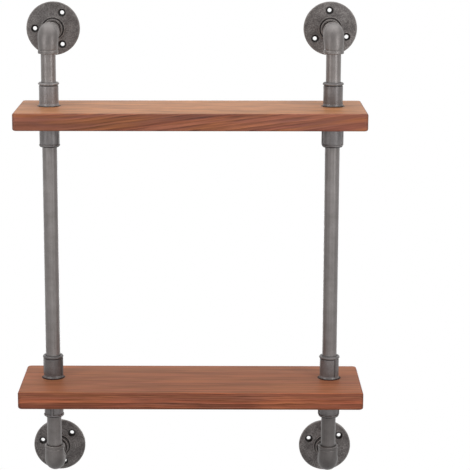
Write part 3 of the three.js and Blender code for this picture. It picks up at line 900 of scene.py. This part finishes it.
# %% [markdown]
# ## Couplings
#
# A malleable iron coupling has a rolled bead at its open mouth with a groove behind it, a flared foot where
# it presses on the board, and on most of them two ribs for the wrench, which run over the groove to the
# bead. Each coupling stopped at its own angle when it was tightened. Where the mouth looks up, the groove
# below the bead is painted dark as the bead's shade; where it looks down, the groove is left to the light
# and the lip is painted dark as its shade.

# %% Profile of a coupling
SOCKET_RADIUS = 10.6
MOUTH_CHAMFER = 1.5  # lead-in at the mouth of every threaded socket
COUPLING_RADIUS = 14.1
COUPLING_LENGTH = 34
FOOT_RADIUS = 14.9
FOOT_BAND = 1.1
FOOT_TAPER = 2.4
GROOVE_RADIUS = 13.4
GROOVE_FLANK = 0.5
GROOVE_WIDTH = 1.4
RIM_RADIUS = 15.2  # of the bead at the mouth
RIM_WIDTH = 3.2
LIP_HEIGHT = 1.5
LIP_DEPTH = 1.2


def coupling_corners(groove, lip):
    """Profile of a coupling that stands on its foot, with the zones of its groove and of its mouth's lip."""
    rim = COUPLING_LENGTH - RIM_WIDTH
    return [
        (SOCKET_RADIUS, 0, 0.2, "skin"),
        (FOOT_RADIUS, 0, 0.4, "skin"),
        (FOOT_RADIUS, FOOT_BAND, 0.5, "skin"),
        (COUPLING_RADIUS, FOOT_BAND + FOOT_TAPER, 2.0, "rib"),
        (COUPLING_RADIUS, rim - GROOVE_WIDTH - GROOVE_FLANK, 0.5, groove),
        (GROOVE_RADIUS, rim - GROOVE_WIDTH, 0.3, groove),
        (GROOVE_RADIUS, rim, 0.3, groove),
        (RIM_RADIUS, rim, 1.4, "skin"),
        (RIM_RADIUS, COUPLING_LENGTH - LIP_HEIGHT, 0.6, lip),
        (RIM_RADIUS - LIP_DEPTH, COUPLING_LENGTH, 0.6, lip),
        (SOCKET_RADIUS + MOUTH_CHAMFER, COUPLING_LENGTH, 0.3, lip),
        (SOCKET_RADIUS, COUPLING_LENGTH - MOUTH_CHAMFER, 0.2, "socket"),
    ]


# %% Couplings
CAST_SKIN = {"Skin depth": 0.14 * MM, "Skin size": 5.0 * MM}
RIB = {"Rib radius": COUPLING_RADIUS * MM, "Rib height": 1.8 * MM, "Rib width": 4.4 * MM}
RIB_ANGLES = {  # degrees from the front
    "left_upper_shelf_bottom": 68, "left_lower_shelf_top": 70, "left_lower_shelf_bottom": -6,
    "right_upper_shelf_bottom": 86, "right_lower_shelf_top": 38, "right_lower_shelf_bottom": 86,
}
SEED_STEP = 0.37  # metres between the places from which two couplings take their cast skin
MOUTH_DOWN = Matrix.Rotation(pi, 4, "X")

places = [(side, shelf, end) for side in SIDES for shelf in ("upper", "lower") for end in ("top", "bottom")]
for number, (side, shelf, end) in enumerate(places):
    node = f"{side}_{shelf}_shelf_{end}_coupling"
    low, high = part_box(node)
    axis = (low + high) / 2
    from_front = RIB_ANGLES.get(f"{side}_{shelf}_shelf_{end}")
    values = dict(CAST_SKIN, Seed=(number * SEED_STEP, 0.0, 0.0))
    if from_front is not None:
        rib_angle = radians(from_front - 90 if end == "top" else 90 - from_front)
        values.update(RIB | {"Rib angle": rib_angle})
    # A mouth that looks up gets its groove painted dark as shade; a mouth that looks down gets its lip
    # painted dark as shade.
    corners = coupling_corners("groove", "skin") if end == "top" else coupling_corners("rib", "lip")
    piece = turned(f"{node}_cast", corners, paint_on["cast_iron"], facets=160, **values)
    foot = Vector((axis.x, axis.y, low.z if end == "top" else high.z))
    settle(piece, foot, node, "cast_metal", Matrix() if end == "top" else MOUTH_DOWN)

# %% [markdown]
# ## Elbows
#
# An elbow is turned about an axis that bends by a quarter turn. Its body swells a little in the middle of
# the bend, each mouth has a flat bead with a narrow neck behind it, and the passage inside is narrower than
# the threaded sockets. The second mouth is the first one mirrored.

# %% Profile of an elbow
ELBOW_RADIUS = 14.0
ELBOW_BULGE = 1.1
ELBOW_BEND = 15.6
ELBOW_ARM = 12.8
BEAD_RADIUS = 14.7
BEAD_WIDTH = 4.6
NECK_RADIUS = 13.5
NECK_STEP = 0.2
NECK_WIDTH = 1.0
PASSAGE_RADIUS = 8.25
BEND_STEPS = 10

bend_length = ELBOW_BEND * pi / 2
elbow_length = 2 * ELBOW_ARM + bend_length
neck = BEAD_WIDTH + NECK_STEP
mouth = [
    (SOCKET_RADIUS + MOUTH_CHAMFER, 0, 0.3, "skin"),
    (BEAD_RADIUS, 0, 1.3, "skin"),
    (BEAD_RADIUS, BEAD_WIDTH, 0.9, "skin"),
    (NECK_RADIUS, neck, 0.3, "skin"),
    (NECK_RADIUS, neck + NECK_WIDTH, 0.3, "skin"),
    (ELBOW_RADIUS, neck + 2 * NECK_WIDTH, 0.8, "skin"),
]
swell = []
passage = []
for step in range(1, BEND_STEPS):
    share = step / BEND_STEPS
    bulge = ELBOW_BULGE * sin(share * pi)
    swell.append((ELBOW_RADIUS + bulge, ELBOW_ARM + share * bend_length, 0, "skin"))
    passage.append((PASSAGE_RADIUS, ELBOW_ARM + (1 - share) * bend_length, 0, "plain"))
elbow_corners = [
    *mouth, *swell,
    *((radius, elbow_length - reach, rounding, zone) for radius, reach, rounding, zone in reversed(mouth)),
    (SOCKET_RADIUS, elbow_length - MOUTH_CHAMFER, 0.2, "socket"),
    (SOCKET_RADIUS, elbow_length - ELBOW_ARM, 0, "plain"),
    (PASSAGE_RADIUS, elbow_length - ELBOW_ARM, 0.3, "plain"),
    *passage,
    (PASSAGE_RADIUS, ELBOW_ARM, 0.3, "plain"),
    (SOCKET_RADIUS, ELBOW_ARM, 0, "socket"),
    (SOCKET_RADIUS, MOUTH_CHAMFER, 0.2, "skin"),
]
print("corners of an elbow's profile:", len(elbow_corners))

# %% Elbows
TOP_ELBOW = Matrix(((-1, 0, 0, 0), (0, 0, -1, 0), (0, -1, 0, 0), (0, 0, 0, 1)))
HALF_TURN = Matrix.Rotation(pi, 4, "Y")
BEND = {"Arm": ELBOW_ARM * MM, "Bend radius": ELBOW_BEND * MM, "Bend angle": pi / 2}
ELBOW_SEEDS = (0.2, 0.53)  # the first one and the step to the next

for number, (side, end) in enumerate((a, b) for a in SIDES for b in ("top", "bottom")):
    node = f"{side}_{end}_elbow"
    wall_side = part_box(node)[1].y
    arm_height = middle(f"{side}_{end}_wall_nipple").z
    turn_it = TOP_ELBOW if end == "top" else HALF_TURN @ TOP_ELBOW
    seed = (0.0, ELBOW_SEEDS[0] + number * ELBOW_SEEDS[1], 0.0)
    piece = turned(f"{node}_cast", elbow_corners, paint_on["smooth_elbow"], facets=96,
                   Seed=seed, **CAST_SKIN, **BEND)
    settle(piece, (upright[side].x, wall_side, arm_height), node, "cast_metal", turn_it)

# %% [markdown]
# ## Wall flanges
#
# A flange is a cast disc with a stepped hub and three countersunk screw holes. The disc is turned first,
# with its rough face, and then drilled, so that the holes stay clean as on the real casting. They narrow a
# little towards the wall, as the draft of the mould leaves them.

# %% Profiles of a flange and of its screw holes
FLANGE_RADIUS = 39.5
RIM_HEIGHT = 4.2  # wall to the worn outer edge
RIM_SLOPE = (1.0, 0.6)  # inwards and up, from that edge to the face
HUB_FACE = 6.0  # wall to the face at the foot of the hub's ring
RING_RADIUS = 17.7
RING_TOP = 9.6
RING_WIDTH = 1.6
MOAT_FLOOR = 7.6
HUB_RADIUS = 14.5
HUB_TOP = 17
flange_corners = [
    (SOCKET_RADIUS, 0, 0.3, "skin"),
    (FLANGE_RADIUS, 0, 0.4, "skin"),
    (FLANGE_RADIUS, RIM_HEIGHT, 1.6, "skin"),
    (FLANGE_RADIUS - RIM_SLOPE[0], RIM_HEIGHT + RIM_SLOPE[1], 1.6, "skin"),
    (RING_RADIUS, HUB_FACE, 1.2, "skin"),
    (RING_RADIUS, RING_TOP, 0.7, "skin"),
    # The moat inside the hub's ring is zone groove, painted dark as its shade.
    (RING_RADIUS - RING_WIDTH, RING_TOP, 0.5, "groove"),
    (RING_RADIUS - RING_WIDTH, MOAT_FLOOR, 0.4, "groove"),
    (HUB_RADIUS, MOAT_FLOOR, 0.3, "groove"),
    (HUB_RADIUS, RING_TOP, 0, "skin"),
    (HUB_RADIUS, HUB_TOP, 0.9, "skin"),
    (SOCKET_RADIUS + MOUTH_CHAMFER, HUB_TOP, 0.3, "skin"),
    (SOCKET_RADIUS, HUB_TOP - MOUTH_CHAMFER, 0.2, "socket"),
]
SCREW_RADIUS = 3.1
SCREW_DRAFT = 0.35
SINK_START = 3.0  # wall to the narrow end of the countersink, which opens at 45 degrees
SINK_REACH = 3.8
OVERRUN = 1
hole_corners = [
    (0, -OVERRUN, 0, "plain"),
    (SCREW_RADIUS - SCREW_DRAFT, -OVERRUN, 0, "plain"),
    (SCREW_RADIUS, SINK_START, 0.2, "plain"),
    (SCREW_RADIUS + SINK_REACH, SINK_START + SINK_REACH, 0, "plain"),
    (0, SINK_START + SINK_REACH, 0, "plain"),
]

# %% Flanges
FIRST_HOLE = {"left_top": 60, "right_top": 93, "left_bottom": 45, "right_bottom": 36}  # degrees from +X
SCREW_CIRCLE = 27
FLANGE_SEED_STEP = 0.71
FACE_SKIN = {"Skin depth": 0.25 * MM, "Skin size": 4.5 * MM}
OUT_OF_WALL = Matrix.Rotation(pi / 2, 4, "X")

rough_face = paint_on["rough_cast_face"]
cutter = turned("screw_hole_cutter", hole_corners, paint_on["cast_iron"], facets=40)
for number, (corner, first) in enumerate(FIRST_HOLE.items()):
    node = f"{corner}_flange"
    wall_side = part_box(node)[1].y
    axis = middle(f"{corner}_wall_nipple")
    seed = (0.0, 0.0, number * FLANGE_SEED_STEP)
    blank = turned(f"{node}_blank", flange_corners, rough_face, facets=144, Seed=seed, **FACE_SKIN)
    piece = grown(f"{node}_cast", blank.data, drill, {
        "Cutter": cutter, "Holes": 3, "Circle radius": SCREW_CIRCLE * MM, "First angle": radians(first),
        "Finish": rough_face,
    })
    bpy.data.objects.remove(blank)
    settle(piece, (axis.x, wall_side, axis.z), node, "cast_metal", OUT_OF_WALL)
bpy.data.objects.remove(cutter)

# %% [markdown]
# ## Boards
#
# Each board is a planed plank with rounded edges and slightly rounder corners. Attributes tell the material
# where the rounded edges, the end grain and the upper face are, for the stain of the ends, the painted shade
# of the edges and the painted light of the top. They are measured after the holes are drilled, because the
# cut makes new points round each hole.

# %% Plank and its marks
EDGE_ROUND = 3.0
CORNER_ROUND = 6.5
ROUND_STEPS = 6
TOP_REACH = 0.4  # how far down the rounded edge the painted light of the top reaches


def board_mesh(node):
    """A plank with rounded corners and edges inside the CAD node's box."""
    low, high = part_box(node)
    size = high - low
    work = bmesh.new()
    bmesh.ops.create_cube(work, size=1.0)
    fit = Matrix.Translation((low + high) / 2) @ Matrix.Diagonal((*size, 1))
    bmesh.ops.transform(work, matrix=fit, verts=work.verts)
    for offset, rising in ((CORNER_ROUND, True), (EDGE_ROUND, False)):
        chosen = [e for e in work.edges if rising == (abs(e.verts[0].co.z - e.verts[1].co.z) > size.z / 2)]
        bmesh.ops.bevel(work, geom=chosen, offset=offset * MM, segments=ROUND_STEPS, profile=0.5,
                        affect="EDGES")
    mesh = bpy.data.meshes.new(node)
    work.to_mesh(mesh)
    work.free()
    return mesh


def mark_board(mesh, low, high):
    """Tells the wood's material where the rounded edges, the end grain and the top of a drilled board are.
    """
    marks = {"edge": [], "end": [], "top": []}
    for v in mesh.vertices:
        gaps = sorted(min(v.co[i] - low[i], high[i] - v.co[i]) for i in range(3))
        marks["edge"].append(max(0.0, 1 - gaps[1] / (EDGE_ROUND * MM)))
        from_end = min(v.co.x - low.x, high.x - v.co.x)
        marks["end"].append(max(0.0, 1 - from_end / (EDGE_ROUND * MM)))
        marks["top"].append(max(0.0, 1 - (high.z - v.co.z) / (TOP_REACH * MM)))
    for name, shares in marks.items():
        mesh.attributes.new(name, "FLOAT", "POINT").data.foreach_set("value", shares)


# %% Boards
PIPE_HOLE_RADIUS = 11
CUTTER_REACH = 40  # above and below the middle of a board

pipe_hole = turned("pipe_hole_cutter", [
    (0, -CUTTER_REACH, 0, "plain"), (PIPE_HOLE_RADIUS, -CUTTER_REACH, 0, "plain"),
    (PIPE_HOLE_RADIUS, CUTTER_REACH, 0, "plain"), (0, CUTTER_REACH, 0, "plain"),
], upper_wood)
for shelf, wood in (("upper", upper_wood), ("lower", lower_wood)):
    node = f"{shelf}_shelf_board"
    low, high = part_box(node)
    axis = Vector((0, upright["left"].y, (low.z + high.z) / 2))
    mesh = board_mesh(node)
    mesh.transform(Matrix.Translation(-axis))
    board = grown(f"{node}_planed", mesh, drill, {
        "Cutter": pipe_hole, "Holes": 2, "Circle radius": upright["right"].x, "Finish": wood,
    })
    mark_board(board.data, low - axis, high - axis)
    for polygon in board.data.polygons:
        polygon.use_smooth = True
    settle(board, axis, node, "board_wood", sharp=30)
bpy.data.objects.remove(pipe_hole)
